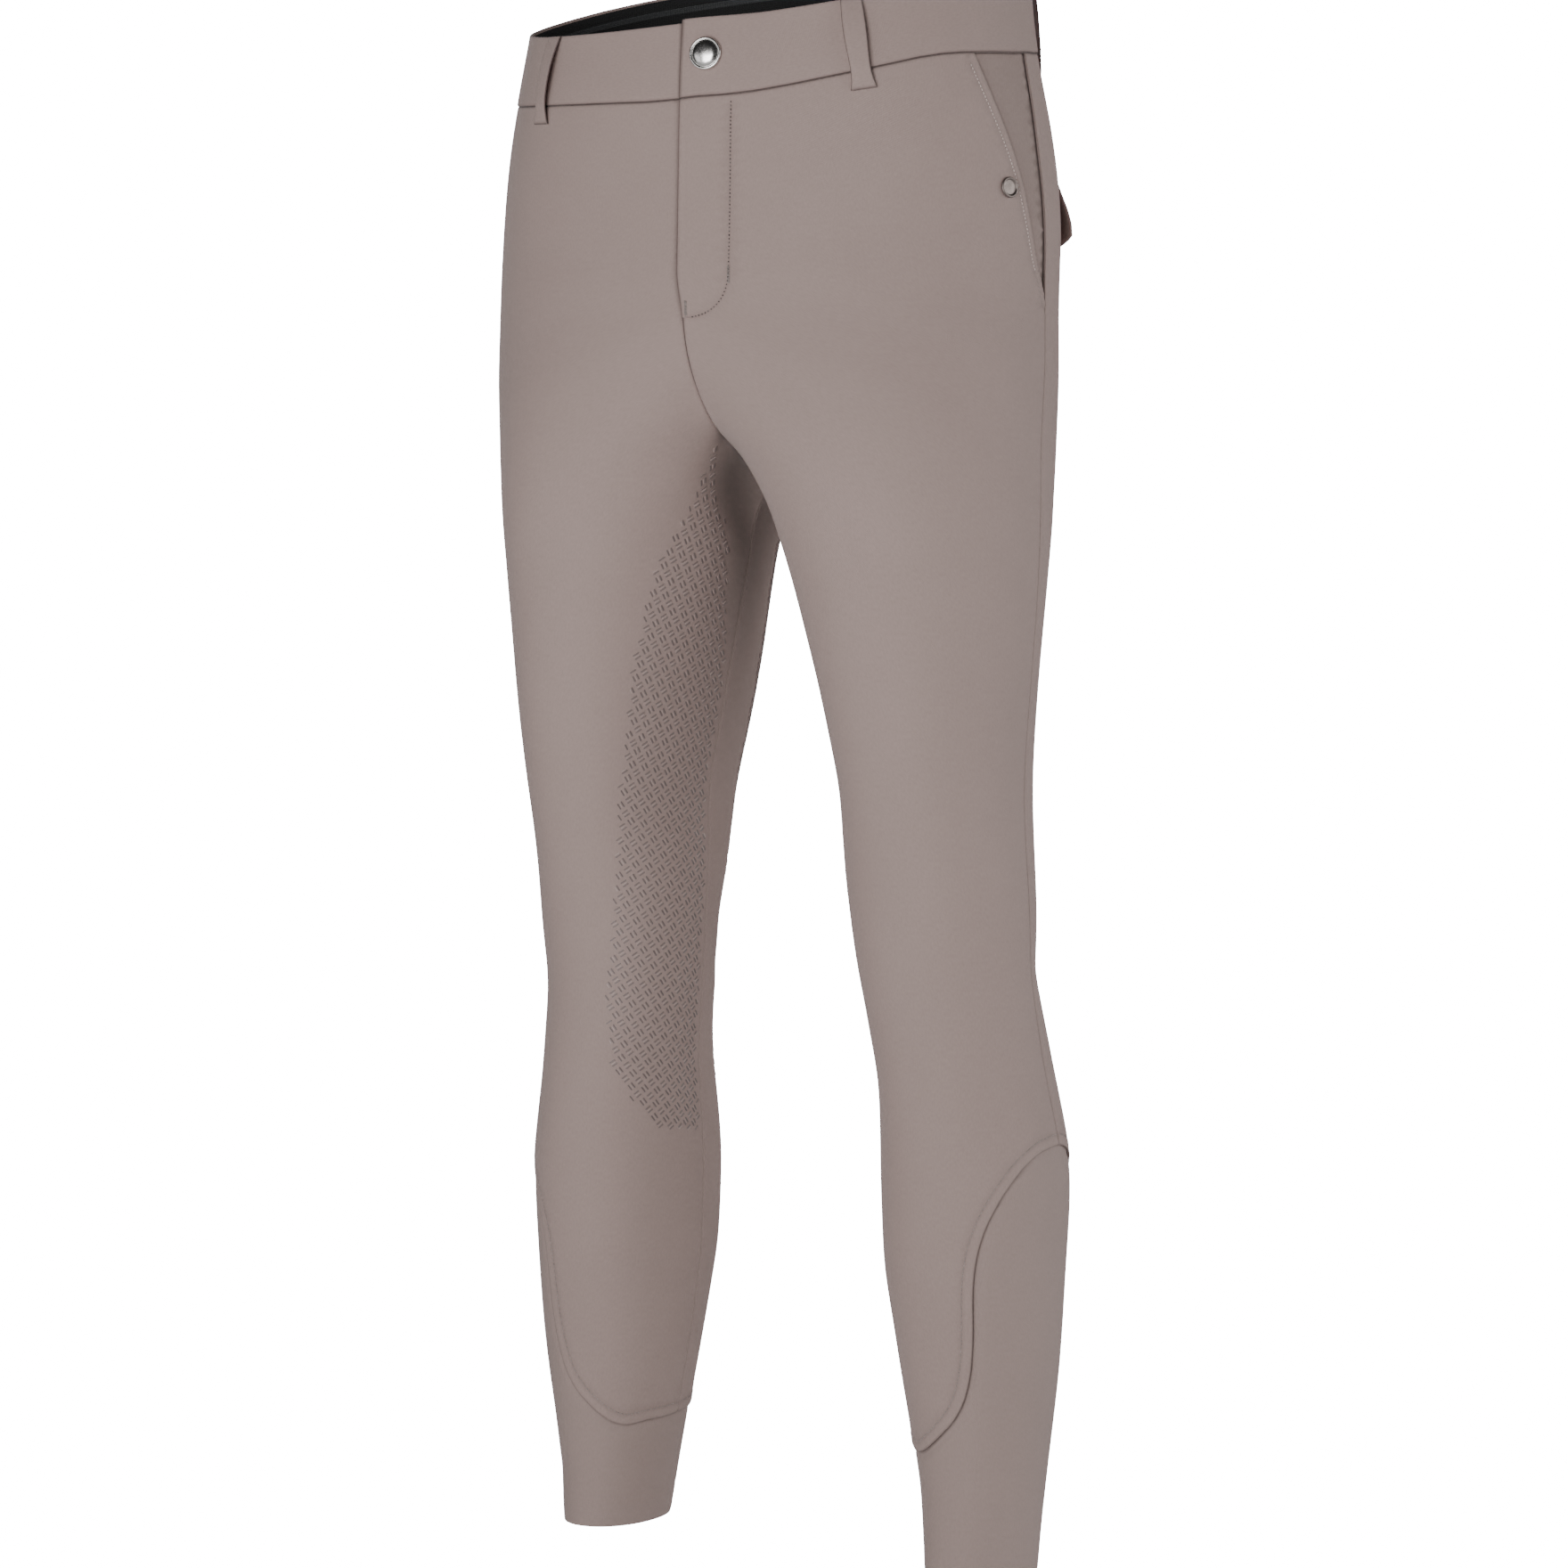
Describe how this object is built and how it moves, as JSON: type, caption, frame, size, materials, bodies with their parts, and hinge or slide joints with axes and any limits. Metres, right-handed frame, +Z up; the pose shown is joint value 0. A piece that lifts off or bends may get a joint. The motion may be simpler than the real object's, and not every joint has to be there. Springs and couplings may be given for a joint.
{
  "type": "riding breeches",
  "caption": "Close-fitting riding breeches in taupe stretch cloth, with a button waistband and belt loops, slant pockets, a grip print inside the legs and thin stretch lower-leg panels.",
  "frame": {"origin": "middle of the waist opening, at the height of the waistband's top edge at the sides, where the wearer's waist holds the garment up", "axes": "+Z up out of the waist, -Y to the wearer's front, +X to the wearer's left"},
  "size_m": [0.3636, 0.2522, 1.0234],
  "materials": {
    "front_left": "smooth matt stretch cloth, taupe",
    "front_right": "smooth matt stretch cloth, taupe",
    "back_left": "smooth matt stretch cloth, taupe",
    "back_right": "smooth matt stretch cloth, taupe",
    "cuff_left": "thin stretch jersey, taupe",
    "cuff_right": "thin stretch jersey, taupe",
    "pocket_facing_left": "smooth matt stretch cloth, taupe",
    "pocket_facing_right": "smooth matt stretch cloth, taupe",
    "waistband_left": "smooth matt stretch cloth, taupe",
    "waistband_right": "smooth matt stretch cloth, taupe",
    "waistband_facing": "near-black woven tape",
    "belt_loop_front_left": "smooth matt stretch cloth, taupe",
    "belt_loop_front_right": "smooth matt stretch cloth, taupe",
    "belt_loop_side_left": "smooth matt stretch cloth, taupe",
    "belt_loop_side_right": "smooth matt stretch cloth, taupe",
    "belt_loop_back": "smooth matt stretch cloth, taupe",
    "pocket_flap_left": "smooth matt stretch cloth, taupe",
    "pocket_flap_right": "smooth matt stretch cloth, taupe",
    "waist_button": "polished, rimmed dome",
    "pocket_snap_left": "matt, taupe-tinted",
    "pocket_snap_right": "matt, taupe-tinted"
  },
  "bodies": {
    "root": {"front_left": "front_left", "front_right": "front_right", "back_left": "back_left", "back_right": "back_right", "cuff_left": "cuff_left", "cuff_right": "cuff_right", "pocket_facing_left": "pocket_facing_left", "pocket_facing_right": "pocket_facing_right", "waistband_left": "waistband_left", "waistband_right": "waistband_right", "waistband_facing": "waistband_facing", "belt_loop_front_left": "belt_loop_front_left", "belt_loop_front_right": "belt_loop_front_right", "belt_loop_side_left": "belt_loop_side_left", "belt_loop_side_right": "belt_loop_side_right", "belt_loop_back": "belt_loop_back", "pocket_flap_left": "pocket_flap_left", "pocket_flap_right": "pocket_flap_right", "waist_button": "waist_button", "pocket_snap_left": "pocket_snap_left", "pocket_snap_right": "pocket_snap_right"}
  },
  "joints": []
}
